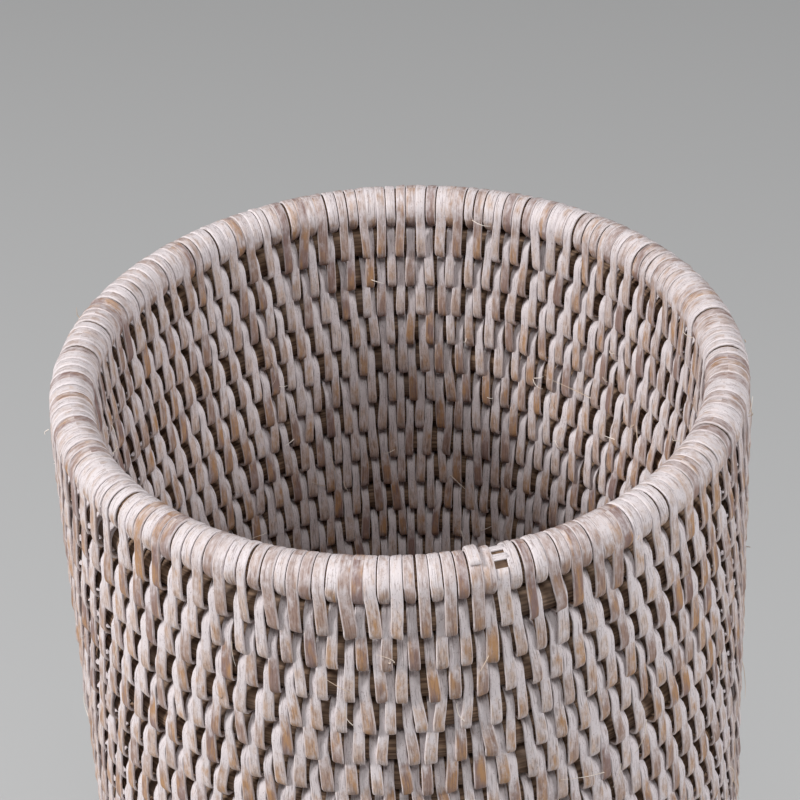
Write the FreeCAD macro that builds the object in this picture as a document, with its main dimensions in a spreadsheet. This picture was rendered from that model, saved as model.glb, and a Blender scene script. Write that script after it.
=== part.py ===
import FreeCAD, Part
import os

# Tall round storage holder in coiled rattan: hoops of rattan rod stacked one on
# another, lashed together with flat cane strip, a thicker wrapped rim and a
# coiled base set one course above the floor.
# The origin is on the floor, at the middle of the foot; +Z is up.

doc = FreeCAD.newDocument("storage_holder")
sheet = doc.addObject("Spreadsheet::Sheet", "Sizes")

SIZES = {
    "outer_dia": 166.0,       # over the lashing of the wall
    "rod_dia": 8.4,           # rattan rod of the wall, foot and base
    "rim_extra": 0.6,         # how much thicker the rim's rod is than the wall's
    "strip_thick": 0.8,       # flat cane strip of the lashing
    "lash_fit": 0.05,         # strip to rod
    "base_fit": 0.1,          # base disc to the wall's inside
    "foot_flat": 0.3,         # depth pressed flat where the foot stands
    "wall_courses": 39,       # hoops between the foot and the rim
    "base_course": 1,         # course that the base disc lies level with
    "least_hoop": 10.0,       # tightest radius that the base's rod is bent to
    "knot_round": 1.5,        # rounded edge of the base's centre knot
}
for row, (alias, value) in enumerate(SIZES.items(), start=1):
    sheet.set(f"A{row}", alias)
    sheet.set(f"B{row}", str(value))
    sheet.setAlias(f"B{row}", alias)
doc.recompute()

# Formulas shared by several pieces, all in terms of the sizes above.
LASHED = "(Sizes.rod_dia / 2 + Sizes.strip_thick)"
RIM_ROD = "(Sizes.rod_dia + Sizes.rim_extra)"
RIM_LASHED = f"({RIM_ROD} / 2 + Sizes.strip_thick)"
PITCH = "(Sizes.rod_dia + Sizes.strip_thick)"
HOOP = f"(Sizes.outer_dia / 2 - {LASHED})"
FOOT_Z = f"({LASHED} - Sizes.foot_flat)"
BASE_Z = f"({FOOT_Z} + Sizes.base_course * {PITCH})"
TOP_COURSE_Z = f"({FOOT_Z} + Sizes.wall_courses * {PITCH})"
RIM_STEP = f"({PITCH} + Sizes.rim_extra / 2)"
RIM_Z = f"({TOP_COURSE_Z} + {RIM_STEP})"
BASE_HOOP = f"({HOOP} - 2 * {LASHED} - Sizes.base_fit)"

nodes = []


def node(obj, label):
    """Names a finished piece, so that it is written out under that name."""
    obj.Label = label
    nodes.append(obj)
    return obj


def torus(name, radius, tube, z):
    """A ring of round section about the upright axis."""
    ring = doc.addObject("Part::Torus", name)
    ring.setExpression("Radius1", radius)
    ring.setExpression("Radius2", tube)
    ring.setExpression("Placement.Base.z", z)
    return ring


def cylinder(name, radius, height, z):
    """An upright cylinder that starts at height z."""
    drum = doc.addObject("Part::Cylinder", name)
    drum.setExpression("Radius", radius)
    drum.setExpression("Height", height)
    drum.setExpression("Placement.Base.z", z)
    return drum


def boolean(kind, name, base, tool):
    """Base and tool joined by a cut or a common."""
    result = doc.addObject(f"Part::{kind}", name)
    result.Base = base
    result.Tool = tool
    return result


def rod_in(name, radius, rod, z):
    """The room that a rod takes up inside its lashing."""
    return torus(name, radius, f"{rod} / 2 + Sizes.lash_fit", z)


def stacked_lashing(name, lashed, rod, z, below, above):
    """Lashing round one upright course, level where it meets its neighbours."""
    tube = torus(f"{name}_outside", HOOP, lashed, z)
    slab = cylinder(f"{name}_slab", "Sizes.outer_dia", f"{below} + {above}", f"{z} - {below}")
    layer = boolean("Common", f"{name}_layer", tube, slab)
    return boolean("Cut", name, layer, rod_in(f"{name}_core", HOOP, rod, z))


# Foot hoop and wall hoops, from the floor up.
node(torus("foot_rod", HOOP, "Sizes.rod_dia / 2", FOOT_Z), "foot_rod")
courses = int(sheet.wall_courses)
course_z = [f"({FOOT_Z} + {k} * {PITCH})" for k in range(1, courses + 1)]
for k, z in enumerate(course_z, start=1):
    label = f"wall_rod_{k:02d}"
    node(torus(label, HOOP, "Sizes.rod_dia / 2", z), label)
node(torus("rim_rod", HOOP, f"{RIM_ROD} / 2", RIM_Z), "rim_rod")

# Strip lashing: each course's lashing meets the next one half a strip from the rod.
HALF = f"({PITCH} / 2)"
foot_lashing = stacked_lashing("foot_lashing", LASHED, "Sizes.rod_dia", FOOT_Z, FOOT_Z, HALF)
node(foot_lashing, "foot_lashing")
wall_lashing = doc.addObject("Part::Compound", "wall_lashing")
wall_lashing.Links = [
    stacked_lashing(f"wall_lashing_{k:02d}", LASHED, "Sizes.rod_dia", z, HALF, HALF)
    for k, z in enumerate(course_z, start=1)
]
node(wall_lashing, "wall_lashing")
RIM_BELOW = f"({RIM_ROD} / 2 + Sizes.strip_thick / 2)"
rim_lashing = stacked_lashing("rim_lashing", RIM_LASHED, RIM_ROD, RIM_Z, RIM_BELOW, RIM_ROD)
node(rim_lashing, "rim_lashing")

# Base disc: hoops side by side in one plane, each lashed to the next, as many as
# fit between the wall and the tightest bend, counted from the middle outward.
pitch = sheet.rod_dia + sheet.strip_thick
base_hoop = sheet.outer_dia / 2 - 3 * (sheet.rod_dia / 2 + sheet.strip_thick) - sheet.base_fit
base_rings = int((base_hoop - sheet.least_hoop) / pitch) + 1
FIRST_HOOP = f"({BASE_HOOP} - {base_rings - 1} * {PITCH})"
BASE_LOW = f"({BASE_Z} - {PITCH})"
base_wraps = []
for k in range(1, base_rings + 1):
    radius = f"({FIRST_HOOP} + {k - 1} * {PITCH})"
    label = f"base_rod_{k}"
    node(torus(label, radius, "Sizes.rod_dia / 2", BASE_Z), label)
    reach = PITCH if k == base_rings else HALF
    name = f"base_lashing_{k}"
    tube = torus(f"{name}_outside", radius, LASHED, BASE_Z)
    disc = cylinder(f"{name}_disc", f"{radius} + {reach}", f"2 * {PITCH}", BASE_LOW)
    eye = cylinder(f"{name}_eye", f"{radius} - {HALF}", f"2 * {PITCH}", BASE_LOW)
    layer = boolean("Common", f"{name}_layer", tube, disc)
    ring = boolean("Cut", f"{name}_ring", layer, eye)
    core = rod_in(f"{name}_core", radius, "Sizes.rod_dia", BASE_Z)
    base_wraps.append(boolean("Cut", name, ring, core))
base_lashing = doc.addObject("Part::Compound", "base_lashing")
base_lashing.Links = base_wraps
node(base_lashing, "base_lashing")

# Centre knot that closes the innermost hoop of the base.
KNOT = f"({FIRST_HOOP} - {HALF} - Sizes.lash_fit)"
knot_body = cylinder("knot_body", KNOT, "Sizes.rod_dia", f"{BASE_Z} - Sizes.rod_dia / 2")
doc.recompute()
knot = doc.addObject("Part::Fillet", "base_centre")
knot.Base = knot_body
round_edges = [
    number for number, edge in enumerate(knot_body.Shape.Edges, start=1)
    if isinstance(edge.Curve, Part.Circle)
]
knot.Edges = [(number, sheet.knot_round, sheet.knot_round) for number in round_edges]
node(knot, "base_centre")

doc.recompute()
for obj in doc.Objects:
    if "Invalid" in obj.State or "Error" in obj.State:
        raise RuntimeError(f"{obj.Label} failed: {obj.State}")
for obj in nodes:
    if obj.Shape.isNull() or not obj.Shape.isValid():
        raise RuntimeError(f"{obj.Label} has no valid shape")

os.makedirs("parts", exist_ok=True)
for obj in nodes:
    obj.Shape.exportStep(f"parts/{obj.Label}.step")
print(len(nodes), "nodes written")
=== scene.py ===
import math
from collections import namedtuple

import bpy
import numpy as np
from mathutils import Matrix, Vector


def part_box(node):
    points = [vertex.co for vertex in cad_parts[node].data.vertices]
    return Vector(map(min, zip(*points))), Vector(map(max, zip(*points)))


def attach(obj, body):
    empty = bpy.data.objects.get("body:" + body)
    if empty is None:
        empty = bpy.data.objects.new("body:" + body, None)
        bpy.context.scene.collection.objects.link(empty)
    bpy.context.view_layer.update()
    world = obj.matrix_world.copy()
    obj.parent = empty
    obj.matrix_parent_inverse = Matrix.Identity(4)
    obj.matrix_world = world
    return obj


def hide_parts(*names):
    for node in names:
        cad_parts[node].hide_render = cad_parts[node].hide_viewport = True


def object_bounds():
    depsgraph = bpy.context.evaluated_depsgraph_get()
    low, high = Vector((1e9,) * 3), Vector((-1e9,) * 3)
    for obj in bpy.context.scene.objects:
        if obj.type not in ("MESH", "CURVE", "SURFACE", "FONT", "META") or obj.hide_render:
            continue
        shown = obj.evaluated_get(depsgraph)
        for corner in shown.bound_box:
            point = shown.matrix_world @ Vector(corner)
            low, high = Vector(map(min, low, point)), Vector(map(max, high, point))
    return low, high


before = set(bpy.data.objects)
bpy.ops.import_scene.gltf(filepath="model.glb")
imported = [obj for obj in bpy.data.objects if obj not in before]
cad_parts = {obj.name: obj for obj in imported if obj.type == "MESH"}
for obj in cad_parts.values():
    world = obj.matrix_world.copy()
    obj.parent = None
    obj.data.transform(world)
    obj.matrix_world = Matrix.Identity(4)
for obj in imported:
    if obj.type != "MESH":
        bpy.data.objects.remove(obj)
cad_low, cad_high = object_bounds()
rng = np.random.default_rng(41)

# Sizes of the weave, in millimetres where nothing else is said.
MM = 0.001
STITCHES = 90                # loops of strip in one course
PITCH = 2 * math.pi / STITCHES
STRIP_WIDTH = 2.75
RIM_STRIP_WIDTH = 2.74
STRIP_THICK = 0.72
STRIP_FIT = 0.05             # strip to rod
ROW_SHIFT = -0.44            # of a stitch pitch, from one course to the next one down
ROW_UNEVEN = 0.03            # spread of that shift
SLANT = 0.02                 # sideways run of a stitch for each unit that it goes down
PROUD = 1.05                 # how far a stitch stands off its lower rod before it turns under
MOST_PROUD = 1.3
RISE_FROM = 0.1              # share of the way down at which a stitch starts to stand off
LAP = math.radians(2)        # turn of a stitch's lower half over the next course
PINCH = 0.14                 # share of its width that a stitch loses where it comes out
CURL = 0.22                  # share of its width that a stitch loses round its fold
CURL_FROM, CURL_TO = 100, 140    # turns between which that loss sets in, in degrees
EASE = 1.5                   # power by which pinch and curl set in
CAP = 0.02                   # of the section, the small ring that closes a strip's end
BASE_STITCH = 5.6            # pitch of the loops of the base

# The splice on the rim.
SPLICE = 70                  # rim wrap at which one strip ends
ENDING_PART = (215, 400)     # turns between which the strip's end shows, in degrees
STARTING_PART = (50, 170)    # the same for the next strip's start
BAR_TURNS = (-8, 24)         # where its bars lie, in degrees from the rim's top outward
BAR_REACH = 0.4              # half a bar's length, of a stitch pitch
BAR_WIDTH = 0.6              # of the rim's strip
BAR_STEPS = 5

# Spread of what differs from loop to loop, as it does in hand work.
PLACE_UNEVEN = 0.045         # of a stitch pitch
LIFT_UNEVEN = 0.06
PROUD_UNEVEN = 0.12
SLANT_UNEVEN = 0.05
WAVE_UNEVEN = 0.10
WIDTH_UNEVEN = 0.065         # of the width
THICK_UNEVEN = 0.06          # of the thickness
TWIST_UNEVEN = math.radians(4)
WEAR_UNEVEN = 0.28
DRIFT = ((3, 0.035), (7, 0.025))    # waves round a course, and their size in stitch pitches
PHASE = 6.3                  # range of a wave's random start, in radians

# How far the wash is rubbed off, from 0 to 1, and what else the strip's looks go by.
WEAR = 0.3
RIM_WEAR = 0.2
WALL_WEAR = (0.2, 0.6)
RIM_HIGHLIGHT = 0.4              # painted highlight at the top of the rim's wraps, against a stitch's 1
TONE_SKEW = 1.3              # power that makes pale strips more common than dull ones
SEED_RANGE = 60.0            # how far apart two strips can lie in the noise
MAP_MARGIN_U, MAP_MARGIN_V = 0.06, 0.02    # round a strip on the map for textures
MAP_ASPECT = 5               # length of a strip's room on that map, for a width of one

# Loose fibres.
FIBRES = 600
FIBRE_STEPS = 7
FIBRES_OUTSIDE = 0.6         # share of them on the outside
FIBRE_LENGTH = (2.5, 10.0)
FIBRE_HANG = (0.3, 2.0)      # how far they stand off
FIBRE_ROOT = 0.7 * PROUD     # how far out of the lashing they start
FIBRE_SWAY = 0.6             # sideways and upward run for each unit of length
FIBRE_DROOP = -0.1
FIBRE_BEND = 0.05
FIBRE_RADII = (0.13, 0.05)   # from root to tip
FIBRE_ARCH = 0.7             # share of half a wave that a fibre's curve follows
FIBRE_OUT = 1.7              # most that a fibre stands out past the lashing
FIBRE_CLEAR = 1.0            # least height of a fibre off the floor, and most past the rim


def rod(name):
    """Hoop radius, height and rod radius of one of the frame's hoops."""
    low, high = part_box(name)
    radius = (high.z - low.z) / 2 / MM
    return (high.x - low.x) / 2 / MM - radius, (high.z + low.z) / 2 / MM, radius


WALL = [rod(n) for n in sorted(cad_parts) if n.startswith("wall_rod_")]
RIM = rod("rim_rod")
FOOT = rod("foot_rod")
BASE = sorted((rod(n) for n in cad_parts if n.startswith("base_rod_")), reverse=True)


# Shaders

def linear(red, green, blue):
    """Linear colour of an 8-bit display colour."""
    out = []
    for value in (red, green, blue):
        c = value / 255
        out.append(c / 12.92 if c <= 0.04045 else ((c + 0.055) / 1.055) ** 2.4)
    return (*out, 1.0)


class Shader:
    """A material whose nodes are added and joined by short calls."""

    def __init__(self, name):
        self.material = bpy.data.materials.new(name)
        self.material.use_nodes = True
        self.tree = self.material.node_tree
        self.surface = self.tree.nodes["Principled BSDF"]

    def put(self, socket, value):
        """Joins a socket to another one, or gives it a value."""
        if isinstance(value, bpy.types.NodeSocket):
            self.tree.links.new(value, socket)
        else:
            socket.default_value = value

    def math(self, kind, a, b=0.0, c=0.0):
        node = self.tree.nodes.new("ShaderNodeMath")
        node.operation = kind
        for socket, value in zip(node.inputs, (a, b, c)):
            self.put(socket, value)
        return node.outputs[0]

    def vector(self, x, y, z):
        node = self.tree.nodes.new("ShaderNodeCombineXYZ")
        for socket, value in zip(node.inputs, (x, y, z)):
            self.put(socket, value)
        return node.outputs[0]

    def split(self, vector):
        node = self.tree.nodes.new("ShaderNodeSeparateXYZ")
        self.put(node.inputs[0], vector)
        return node.outputs

    def noise(self, vector, scale, detail=2.0, rough=0.5):
        node = self.tree.nodes.new("ShaderNodeTexNoise")
        self.put(node.inputs["Vector"], vector)
        node.inputs["Scale"].default_value = scale
        node.inputs["Detail"].default_value = detail
        node.inputs["Roughness"].default_value = rough
        return node.outputs["Fac"]

    def ramp(self, value, low, high, to_low=0.0, to_high=1.0):
        """Smooth step from one value to another, as the input goes from low to high."""
        node = self.tree.nodes.new("ShaderNodeMapRange")
        node.interpolation_type = "SMOOTHSTEP"
        node.clamp = True
        for socket, part in zip(node.inputs, (value, low, high, to_low, to_high)):
            self.put(socket, part)
        return node.outputs[0]

    def mix(self, factor, a, b):
        """Colour a where the factor is 0, and colour b where it is 1."""
        node = self.tree.nodes.new("ShaderNodeMix")
        node.data_type = "RGBA"
        self.put(node.inputs[0], factor)
        self.put(node.inputs[6], a)
        self.put(node.inputs[7], b)
        return node.outputs[2]

    def attribute(self, name):
        node = self.tree.nodes.new("ShaderNodeAttribute")
        node.attribute_name = name
        return node.outputs["Fac"]

    def uv(self, name):
        node = self.tree.nodes.new("ShaderNodeUVMap")
        node.uv_map = name
        return node.outputs[0]

    def position(self):
        return self.tree.nodes.new("ShaderNodeTexCoord").outputs["Object"]

    def bump(self, height, strength, distance):
        node = self.tree.nodes.new("ShaderNodeBump")
        node.inputs["Strength"].default_value = strength
        node.inputs["Distance"].default_value = distance
        self.put(node.inputs["Height"], height)
        self.put(self.surface.inputs["Normal"], node.outputs[0])

    def finish(self, colour, roughness, specular=0.4):
        """Sets the surface and returns the material."""
        self.put(self.surface.inputs["Base Color"], colour)
        self.put(self.surface.inputs["Roughness"], roughness)
        self.surface.inputs["Specular IOR Level"].default_value = specular
        return self.material


def cane_material():
    """Split cane under a worn whitewash: grain along the strip, tan where it is rubbed, paler edges,
    and a painted highlight that whitens each loop towards its top.
    """
    pale, dull = linear(202, 173, 150), linear(142, 117, 114)
    brown, tan, white = linear(138, 109, 94), linear(186, 142, 100), linear(224, 215, 217)
    crack, spot, edge = linear(108, 83, 77), linear(126, 101, 96), linear(236, 228, 229)
    s = Shader("whitewashed_cane")
    across, along, _ = s.split(s.uv("strip"))
    tone = s.attribute("tone")
    depth = s.math("MULTIPLY", s.attribute("seed"), SEED_RANGE)

    def streaks(over, down, detail, rough=0.6):
        """Noise drawn out along the strip, different on every strip."""
        vector = s.vector(s.math("MULTIPLY", across, over), s.math("MULTIPLY", along, down), depth)
        return s.noise(vector, 1.0, detail, rough)

    grain = streaks(3.4, 0.14, 3.0)
    fine = streaks(5.5, 0.22, 2.0)
    cloud = streaks(0.9, 0.3, 3.0)
    blotch = streaks(0.8, 0.13, 2.0, 0.5)
    speck = streaks(4.0, 1.6, 2.0)

    colour = s.mix(tone, pale, dull)
    colour = s.mix(s.ramp(grain, 0.44, 0.64, 0.0, 0.7), colour, brown)
    rubbed = s.math("ADD", blotch, s.math("MULTIPLY", s.attribute("wear"), 0.3))
    rubbed = s.math("MULTIPLY", s.ramp(rubbed, 0.54, 0.79), s.ramp(grain, 0.34, 0.60, 0.35, 0.9))
    colour = s.mix(rubbed, colour, tan)
    # Whitewash in cloudy patches, partly real and partly a painted highlight: each loop is whitened
    # towards its top, standing in for light from above.
    wash_and_highlight = s.math("MULTIPLY_ADD", s.attribute("top_highlight"), 0.7, s.math("MULTIPLY", cloud, 1.3))
    wash_and_highlight = s.math("MULTIPLY_ADD", tone, -0.45, wash_and_highlight)
    wash_and_highlight = s.math("MULTIPLY_ADD", grain, -0.25, wash_and_highlight)
    colour = s.mix(s.ramp(wash_and_highlight, 0.12, 0.85, 0.0, 0.95), colour, white)
    colour = s.mix(s.ramp(fine, 0.54, 0.68, 0.0, 0.55), colour, crack)
    colour = s.mix(s.ramp(speck, 0.58, 0.71, 0.0, 0.45), colour, spot)
    # Paler along both edges of the strip, less so where the cloud noise is high.
    pale_edges = s.ramp(s.math("ABSOLUTE", across), 0.72, 0.94)
    pale_edges = s.math("MULTIPLY", pale_edges, s.ramp(cloud, 0.3, 0.6, 0.8, 0.35))
    colour = s.mix(pale_edges, colour, edge)
    s.bump(s.math("ADD", grain, s.math("MULTIPLY", fine, 0.7)), 0.5, 0.25 * MM)
    return s.finish(colour, s.ramp(grain, 0.3, 0.7, 0.55, 0.78), 0.35)


def rattan_material():
    """Bare rattan core: brown, with fibres that run along the rod."""
    dark, light, dusty = linear(86, 64, 50), linear(140, 114, 92), linear(152, 134, 122)
    s = Shader("rattan_core")
    x, y, z = s.split(s.position())
    turn = s.math("ARCTAN2", y, x)
    reach = s.math("SQRT", s.math("ADD", s.math("MULTIPLY", x, x), s.math("MULTIPLY", y, y)))

    def strands(along, across):
        """Noise with one scale along the hoop and another across it."""
        outward, upward = s.math("MULTIPLY", reach, across), s.math("MULTIPLY", z, across)
        return s.noise(s.vector(s.math("MULTIPLY", turn, along), outward, upward), 1.0)

    fibre = strands(2.2, 1800.0)
    patch = strands(13.2, 90.0)
    colour = s.mix(s.ramp(fibre, 0.34, 0.68), dark, light)
    colour = s.mix(s.ramp(patch, 0.5, 0.8, 0.0, 0.5), colour, dusty)
    s.bump(fibre, 0.4, 0.3 * MM)
    return s.finish(colour, 0.75, 0.3)


def fibre_material():
    """Dry cane fibre, paler and browner from place to place."""
    s = Shader("cane_fibre")
    shade = s.noise(s.position(), 90.0, 1.0)
    colour = s.mix(s.ramp(shade, 0.38, 0.66), linear(240, 230, 220), linear(208, 186, 164))
    return s.finish(colour, 0.7)


CANE = cane_material()
RATTAN = rattan_material()
FIBRE = fibre_material()


# Loops of strip

# Section of the strip, across and outward, for a width and a thickness of one: a
# nearly flat face with eased edges and a flat back.
SECTION = np.array([
    (-0.50, -0.15), (-0.49, 0.22), (-0.44, 0.41), (-0.37, 0.46), (-0.24, 0.49), (0.24, 0.49),
    (0.37, 0.46), (0.44, 0.41), (0.49, 0.22), (0.50, -0.15), (0.42, -0.50), (-0.42, -0.50),
])
ARC = (0, 18, 36, 54, 72)                # turns over the first rod, in degrees
RUN = (0.0, 0.33, 0.67)                  # shares of the way down to the second rod
FOLDED = (90, 100, 110, 120, 130, 140, 150, 165, 195, 210, 220, 230, 240, 250, 260)
STANDS = ((90, 0.8), (115, 1.0), (150, 0.0), (180, 0.0))   # how proud a stitch is, by turn

Path = namedtuple("Path", "centre normal radius share stand turn")


def unit(vectors):
    """The same directions, at a length of one."""
    return vectors / np.linalg.norm(vectors, axis=-1, keepdims=True)


def either_way(turn):
    """A turn from a loop's start, in degrees, counted the shorter way round."""
    return np.minimum(turn, 360 - turn)


def loop_path(first, second):
    """Path of a tight band round two rods, each (hoop radius, height, rod radius).

    It starts at the far side of the first rod and goes over the outside. share is how far
    a point is on the way from the first rod to the second, stand how proud the band is
    there, and turn the angle from the start, in degrees.
    """
    alone = first == second
    a, b = np.array(first[:2]), np.array(second[:2])
    down = np.array((0.0, -1.0)) if alone else unit(b - a)
    out = np.array((-down[1], down[0]))
    run = () if alone else RUN
    legs = [
        *((turn, 0.0) for turn in ARC),
        *((90, part) for part in run),
        *((turn, 1.0) for turn in FOLDED),
        *((270, 1 - part) for part in run),
        *((270 + turn, 0.0) for turn in ARC),
    ]
    turn, share = np.array(legs, float).T
    angle = np.radians(turn)[:, None]
    normal = -np.cos(angle) * down + np.sin(angle) * out
    centre = a + share[:, None] * (b - a)
    radius = first[2] + share * (second[2] - first[2])
    slope = np.clip((share - RISE_FROM) / (1 - RISE_FROM), 0.0, 1.0)
    stand = slope * slope * (3 - 2 * slope) * np.interp(either_way(turn), *np.transpose(STANDS))
    return Path(centre, normal, radius, share, stand, turn)


def strip_loops(name, first, second, turns, width, proud=0.0, lap=0.0, slant=0.0, wear=WEAR,
                squeeze=0.5, pinch=0.0, curl=0.0, highlight_strength=1.0, over=0.0, part=None):
    """A ring of closed strip loops round two hoops, as one mesh object.

    turns holds the loops' angles. proud is how far a loop stands off the second rod, and
    lap the turn by which one of its edges there rides up over the next course's loop.
    squeeze narrows the strip towards the axis, pinch where its neighbours press on it and
    curl round its fold. highlight_strength is how strongly a painted highlight whitens the
    loop towards its top, where it comes out.
    over lifts the loop off the rods, and part, in degrees, keeps only that much of its turn.
    Every loop differs a little in place, slant, width, twist and lift, as hand work does.
    """
    path = loop_path(first, second)
    hoop = (first[0] + second[0]) / 2
    span = np.hypot(first[0] - second[0], first[1] - second[1])
    each = (len(turns), 1)

    def vary(size):
        return rng.normal(0.0, size, each)

    lift = STRIP_THICK / 2 + STRIP_FIT + over + np.abs(vary(LIFT_UNEVEN))
    lift = lift + path.stand * np.clip(proud + vary(PROUD_UNEVEN), 0.0, MOST_PROUD)
    reach = path.centre[:, 0] + path.normal[:, 0] * (path.radius + lift)
    height = path.centre[:, 1] + path.normal[:, 1] * (path.radius + lift)
    lean = (slant + vary(SLANT_UNEVEN)) * path.share * span / hoop
    wave = vary(WAVE_UNEVEN) * np.sin(path.share * math.pi + PHASE * rng.random(each)) / hoop
    angle = np.asarray(turns)[:, None] + lean + wave
    cos, sin = np.cos(angle), np.sin(angle)
    point = np.stack([reach * cos, reach * sin, height], -1)

    along = unit(np.roll(point, -1, 1) - np.roll(point, 1, 1))
    upward = np.broadcast_to(path.normal[:, 1], cos.shape)
    outward = np.stack([path.normal[:, 0] * cos, path.normal[:, 0] * sin, upward], -1)
    outward = unit(outward - along * (outward * along).sum(-1, keepdims=True))
    across = np.cross(along, outward)

    folded = np.clip((either_way(path.turn) - CURL_FROM) / (CURL_TO - CURL_FROM), 0.0, 1.0)
    wide = width * (1 + vary(WIDTH_UNEVEN)) * (1 - squeeze * (1 - reach / reach.max()))
    wide = wide * (1 - pinch * (1 - path.share) ** EASE) * (1 - curl * folded ** EASE)
    thick = STRIP_THICK * (1 + vary(THICK_UNEVEN))
    twist = (vary(TWIST_UNEVEN) + path.share * (lap + vary(TWIST_UNEVEN)))[..., None]
    u = SECTION[:, 0] * wide[..., None]
    v = SECTION[:, 1] * thick[..., None]
    sideways = u * np.cos(twist) - v * np.sin(twist)
    rise = u * np.sin(twist) + v * np.cos(twist)
    ring = point[:, :, None] + across[:, :, None] * sideways[..., None]
    ring = ring + outward[:, :, None] * rise[..., None]
    ring[..., 2] = np.maximum(ring[..., 2], cad_low.z / MM)

    # Painted highlight: the loop is whitened towards its top, where it comes out, standing in for
    # light from above.
    top_highlight = highlight_strength * (1 - path.share) ** 2
    if part is not None:
        keep = steps_between(path.turn, *part)
        ring = capped(ring[:, keep])
        top_highlight = top_highlight[[*keep, keep[-1], keep[0]]]
    return strip_piece(name, ring, wear, top_highlight)


def steps_between(turn, low, high):
    """Steps of a loop from one turn to another, past its start if need be."""
    return [step for lap in (0, 360) for step, at in enumerate(turn) if low <= at + lap <= high]


def capped(ring):
    """An open strip's rings, with a small ring inside each end that closes it."""
    ends = ring[:, [-1, 0]]
    middle = ends.mean(2, keepdims=True)
    return np.concatenate([ring, middle + CAP * (ends - middle)], 1)


def rim_bar(name, angle, turn):
    """A short strip that lies along the rim, at a turn from its top outward."""
    theta = (angle + np.linspace(-BAR_REACH, BAR_REACH, BAR_STEPS) * PITCH)[:, None]
    out, up = math.sin(turn), math.cos(turn)
    u = SECTION[:, 0] * RIM_STRIP_WIDTH * BAR_WIDTH
    v = SECTION[:, 1] * STRIP_THICK + RIM[2] + STRIP_THICK / 2
    reach = RIM[0] + u * up + v * out
    level = np.broadcast_to(RIM[1] - u * out + v * up, (BAR_STEPS, len(SECTION)))
    ring = capped(np.stack([reach * np.cos(theta), reach * np.sin(theta), level], -1)[None])
    # The bar gets the painted highlight along its whole length.
    return strip_piece(name, ring, WEAR, np.ones(ring.shape[1]))


def strip_piece(name, ring, wear, top_highlight):
    """Object of closed strips from their rings of points: strips x steps x section."""
    mesh = bpy.data.meshes.new(name)
    add_faces(mesh, ring)
    add_strip_map(mesh, ring)
    add_bake_map(mesh, ring.shape[:3])
    add_looks(mesh, ring.shape[:3], wear, top_highlight)
    mesh.update()
    mesh.validate()
    mesh.materials.append(CANE)
    return linked(bpy.data.objects.new(name, mesh))


def linked(obj):
    """The object, put into the scene."""
    bpy.context.scene.collection.objects.link(obj)
    return obj


def add_faces(mesh, ring):
    """Four-sided faces between each ring and the next, the last one joined to the first."""
    index = np.arange(ring[..., 0].size).reshape(ring.shape[:3])
    ahead, beside = np.roll(index, -1, 1), np.roll(index, -1, 2)
    corner = np.roll(ahead, -1, 2)
    faces = np.stack([index, beside, corner, ahead], -1).reshape(-1, 4)
    mesh.vertices.add(index.size)
    mesh.vertices.foreach_set("co", (ring.reshape(-1) * MM).astype(np.float32))
    mesh.loops.add(faces.size)
    mesh.loops.foreach_set("vertex_index", faces.reshape(-1).astype(np.int32))
    mesh.polygons.add(len(faces))
    mesh.polygons.foreach_set("loop_start", np.arange(0, faces.size, 4, dtype=np.int32))
    mesh.polygons.foreach_set("use_smooth", np.ones(len(faces), bool))


def add_map(mesh, name, u, v, shape):
    """A UV map from the u and v of every face corner."""
    both = np.stack([np.broadcast_to(u, shape), np.broadcast_to(v, shape)], -1)
    mesh.uv_layers.new(name=name).data.foreach_set("uv", both.reshape(-1).astype(np.float32))


def add_strip_map(mesh, ring):
    """Map for the grain: across the face from -1 to 1, and along the strip in millimetres."""
    line = ring.mean(2)
    length = np.linalg.norm(np.diff(line, axis=1, append=line[:, :1]), axis=-1).mean(0)
    along = np.concatenate([[0.0], np.cumsum(length)])
    across = 2 * np.append(SECTION[:, 0], SECTION[0, 0])
    u = np.stack([across[:-1], across[1:], across[1:], across[:-1]], -1)
    v = np.stack([along[:-1], along[:-1], along[1:], along[1:]], -1)
    add_map(mesh, "strip", u, v[:, None], (*ring.shape[:3], 4))


def add_bake_map(mesh, shape):
    """Map for textures: the strips laid out side by side, in rows."""
    count, steps, sides = shape
    columns = max(1, math.ceil(math.sqrt(count * MAP_ASPECT)))
    rows = math.ceil(count / columns)
    item = np.arange(count)[:, None, None, None]
    part_u = (np.arange(sides)[:, None] + np.array([0, 1, 1, 0])) / sides
    part_v = (np.arange(steps)[:, None, None] + np.array([0, 0, 1, 1])) / steps
    u = (item % columns + MAP_MARGIN_U + (1 - 2 * MAP_MARGIN_U) * part_u) / columns
    v = (item // columns + MAP_MARGIN_V + (1 - 2 * MAP_MARGIN_V) * part_v) / rows
    add_map(mesh, "OFBake", u, v, (*shape, 4))


def add_looks(mesh, shape, wear, top_highlight):
    """What the cane's colour goes by: each strip's own seed, tone and wear, and how much painted
    highlight lies on it from step to step.
    """
    each = (shape[0], 1, 1)
    values = {
        "seed": rng.random(each),
        "tone": rng.random(each) ** TONE_SKEW,
        "wear": np.clip(rng.normal(wear, WEAR_UNEVEN, each), 0.0, 1.0),
        "top_highlight": top_highlight[:, None],
    }
    for key, value in values.items():
        every = np.broadcast_to(value, shape).reshape(-1)
        attribute = mesh.attributes.new(key, "FLOAT", "POINT")
        attribute.data.foreach_set("value", every.astype(np.float32))


def spread(count):
    """Angles of one course's loops, evenly set but for the hand's unevenness."""
    pitch = 2 * math.pi / count
    even = np.arange(count) * pitch
    drift = sum(size * np.sin(even * waves + PHASE * rng.random()) for waves, size in DRIFT)
    return even + pitch * (drift + rng.normal(0.0, PLACE_UNEVEN, count))


def place(piece, node):
    """Ties a piece of lashing to the holder's body, in place of a node of the frame."""
    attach(piece, "root")
    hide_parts(node)


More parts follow.
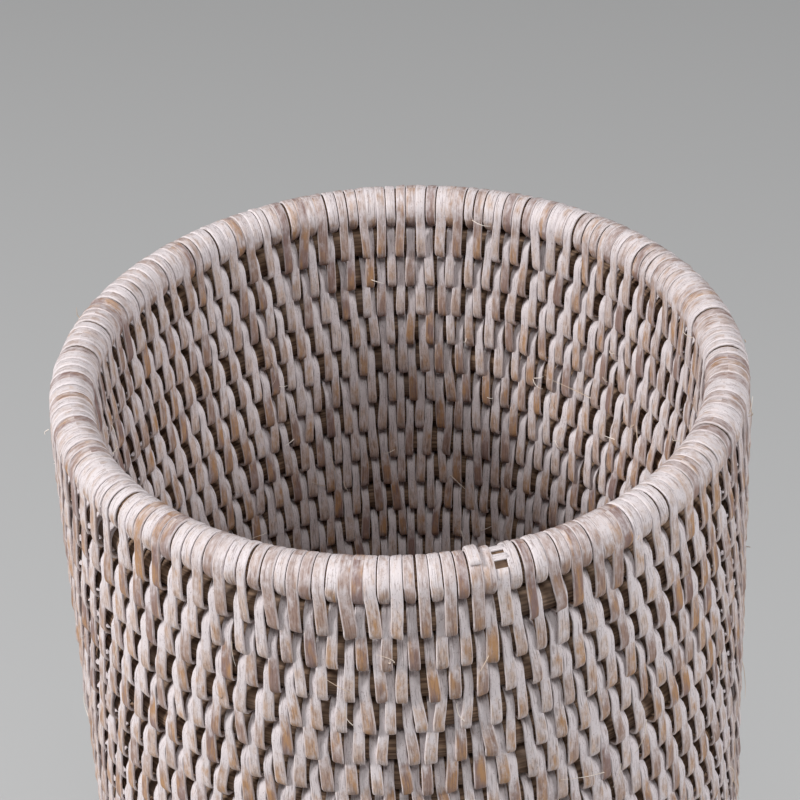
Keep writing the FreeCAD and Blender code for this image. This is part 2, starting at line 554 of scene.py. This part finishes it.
# Rim: long wraps take in the first wall hoop, and a short wrap lies between two of them.
# On its front is a splice: one strip's end laps over a wrap, and beside it the next strip
# starts below the rim's top, under two short bars.
STITCH = {"proud": PROUD, "lap": LAP, "slant": SLANT, "squeeze": 1.0, "curl": CURL}
LONG = {**STITCH, "wear": RIM_WEAR, "highlight_strength": RIM_HIGHLIGHT}
SHORT = {"squeeze": 1.0, "curl": CURL, "wear": RIM_WEAR, "highlight_strength": RIM_HIGHLIGHT}
ON_TOP = {**SHORT, "over": STRIP_THICK, "part": ENDING_PART}
BELOW = {**LONG, "part": STARTING_PART}
wraps = spread(STITCHES)
whole = np.delete(wraps, SPLICE + 1)
ending, starting = wraps[SPLICE:SPLICE + 1], wraps[SPLICE + 1:SPLICE + 2]
for name, second, turns, look in (
    ("rim_wraps_long", WALL[-1], whole, LONG),
    ("rim_wraps_short", RIM, wraps + PITCH / 2, SHORT),
    ("rim_splice_end", RIM, ending, ON_TOP),
    ("rim_splice_start", WALL[-1], starting, BELOW),
):
    place(strip_loops(name, RIM, second, turns, RIM_STRIP_WIDTH, **look), "rim_lashing")
for number, turn in enumerate(BAR_TURNS, start=1):
    place(rim_bar(f"rim_splice_bar_{number}", starting[0], math.radians(turn)), "rim_lashing")

# Wall: every course's loops hold its hoop to the one below.
shift = 0.0
lower = [FOOT] + WALL[:-1]
for course in range(len(WALL) - 1, -1, -1):
    name = f"wall_stitches_{course + 1:02d}"
    shift += (ROW_SHIFT + rng.normal(0.0, ROW_UNEVEN)) * PITCH
    turns = spread(STITCHES) + shift
    look = {**STITCH, "wear": rng.uniform(*WALL_WEAR), "pinch": PINCH}
    place(strip_loops(name, WALL[course], lower[course], turns, STRIP_WIDTH, **look), "wall_lashing")

# Foot: short wraps between the last course's loops.
turns = spread(STITCHES) + shift + PITCH / 2
place(strip_loops("foot_wraps", FOOT, FOOT, turns, STRIP_WIDTH), "foot_lashing")

# Base: loops hold each hoop to the next one out, with wraps round the outermost.
for number, (outer, inner) in enumerate(zip(BASE, BASE[1:]), start=1):
    name = f"base_stitches_{number}"
    count = int(2 * math.pi * (outer[0] + inner[0]) / 2 / BASE_STITCH)
    turns = spread(count) + rng.random()
    look = {"proud": PROUD / 2, "lap": LAP, "squeeze": 1.0}
    place(strip_loops(name, inner, outer, turns, STRIP_WIDTH, **look), "base_lashing")
count = int(2 * math.pi * BASE[0][0] / BASE_STITCH)
place(strip_loops("base_wraps", BASE[0], BASE[0], spread(count), STRIP_WIDTH), "base_lashing")


# Loose fibres that stand off the strip's edges here and there

def fibre_lines():
    """Points of each fibre, in a slack curve out from a strip, and the way out there."""
    each = (FIBRES, 1)
    tops = np.array([RIM] + WALL[:-1])
    hoop, height, thick = tops[rng.integers(0, len(tops), FIBRES)].T[..., None]
    side = np.where(rng.random(each) < FIBRES_OUTSIDE, 1.0, -1.0)
    turn = rng.random(each) * 2 * math.pi
    step = np.linspace(0.0, 1.0, FIBRE_STEPS)
    way = step * rng.uniform(*FIBRE_LENGTH, each)
    drift = rng.normal(0.0, FIBRE_SWAY, each)
    climb = rng.normal(FIBRE_DROOP, FIBRE_SWAY, each)
    lift = np.sin(step * math.pi * FIBRE_ARCH) * rng.uniform(*FIBRE_HANG, each)
    bend = rng.normal(0.0, FIBRE_BEND, each) * way ** 2
    reach = hoop + side * (thick + STRIP_THICK + FIBRE_ROOT + lift)
    reach = np.minimum(reach, cad_high.x / MM + FIBRE_OUT)
    angle = turn + (drift * way + bend) / hoop
    level = np.clip(height + climb * way, FIBRE_CLEAR, cad_high.z / MM + FIBRE_CLEAR)
    outward = np.stack([np.cos(angle), np.sin(angle), np.zeros_like(angle)], -1)
    return outward * reach[..., None] + np.array((0.0, 0.0, 1.0)) * level[..., None], outward


def fibre_piece(name):
    """Thin tapered hairs along the fibres' lines, as one object."""
    point, outward = fibre_lines()
    along = unit(np.gradient(point, axis=1))
    over = unit(np.cross(along, outward))[:, :, None]
    rise = np.cross(over, along[:, :, None])
    corner = np.array([(1.0, 0.0), (0.0, 1.0), (-1.0, 0.0), (0.0, -1.0)])
    taper = np.linspace(*FIBRE_RADII, FIBRE_STEPS)[:, None, None]
    ring = point[:, :, None] + taper * (corner[:, :1] * over + corner[:, 1:] * rise)
    index = np.arange(ring[..., 0].size).reshape(ring.shape[:3])
    low, high = index[:, :-1], index[:, 1:]
    walls = np.stack([low, np.roll(low, -1, 2), np.roll(high, -1, 2), high], -1).reshape(-1, 4)
    caps = np.concatenate([index[:, 0, ::-1], index[:, -1]])
    mesh = bpy.data.meshes.new(name)
    mesh.from_pydata((ring.reshape(-1, 3) * MM).tolist(), [], np.concatenate([walls, caps]).tolist())
    mesh.materials.append(FIBRE)
    return linked(bpy.data.objects.new(name, mesh))


loose = fibre_piece("loose_fibres")
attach(loose, "root")

# The rods stay as they are, in bare rattan.
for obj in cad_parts.values():
    if not obj.hide_render:
        obj.data.materials.clear()
        obj.data.materials.append(RATTAN)


# Floor, light and camera, in metres

FLOOR_SIZE = 8.0
FLOOR_GREY = linear(193, 193, 193)
WHITE = (1.0, 1.0, 1.0)
COOL_WHITE = (0.965, 0.98, 1.0)
AIM = Vector((0.0, 0.0, 0.34))    # what the lamps point at
AMBIENT = 0.10
FOCAL_PX = 2900.0
FRAME_PX = 800
SENSOR_MM = 36.0
AWAY = 0.5703                     # camera in front of the holder's axis
ABOVE_RIM = 0.3867
DIP = math.radians(34.99)
TILT = math.radians(-2.84)


def floor_plane(name, size, colour):
    """A square floor about the origin."""
    half = size / 2
    corners = [(-half, -half, 0), (half, -half, 0), (half, half, 0), (-half, half, 0)]
    mesh = bpy.data.meshes.new(name)
    mesh.from_pydata(corners, [], [(0, 1, 2, 3)])
    mesh.materials.append(Shader(name).finish(colour, 0.9, 0.1))
    return linked(bpy.data.objects.new(name, mesh))


def softbox(name, where, size, power, colour=WHITE):
    """A round lamp that points at the top of the holder."""
    lamp = bpy.data.lights.new(name, "AREA")
    lamp.shape = "DISK"
    lamp.size = size
    lamp.energy = power
    lamp.color = colour
    obj = linked(bpy.data.objects.new(name, lamp))
    obj.location = where
    obj.rotation_euler = (AIM - Vector(where)).to_track_quat("-Z", "Y").to_euler()


def add_camera():
    """The camera, above and in front of the holder, tilted a little sideways."""
    forward = Vector((0.0, math.cos(DIP), -math.sin(DIP)))
    right = Vector((1.0, 0.0, 0.0))
    up = right.cross(forward)
    right_tilted = right * math.cos(TILT) + up * math.sin(TILT)
    up_tilted = up * math.cos(TILT) - right * math.sin(TILT)
    data = bpy.data.cameras.new("camera")
    data.sensor_width = SENSOR_MM
    data.lens = SENSOR_MM * FOCAL_PX / FRAME_PX
    data.clip_start = 0.01
    camera = linked(bpy.data.objects.new("camera", data))
    turn = Matrix((right_tilted, up_tilted, -forward)).transposed().to_4x4()
    camera.matrix_world = Matrix.Translation((0.0, -AWAY, cad_high.z + ABOVE_RIM)) @ turn
    bpy.context.scene.camera = camera


floor = floor_plane("floor", FLOOR_SIZE, FLOOR_GREY)

softbox("key", (-1.6, -0.45, 1.5), 0.5, 39.0)
softbox("fill", (1.5, -0.6, 1.35), 0.7, 19.8, COOL_WHITE)
softbox("front", (0.0, -0.9, 1.9), 0.6, 8.0)

world = bpy.data.worlds.new("studio")
world.use_nodes = True
sky = world.node_tree.nodes["Background"]
sky.inputs["Color"].default_value = (*WHITE, 1.0)
sky.inputs["Strength"].default_value = AMBIENT
bpy.context.scene.world = world

add_camera()
bpy.context.scene.view_settings.view_transform = "Standard"
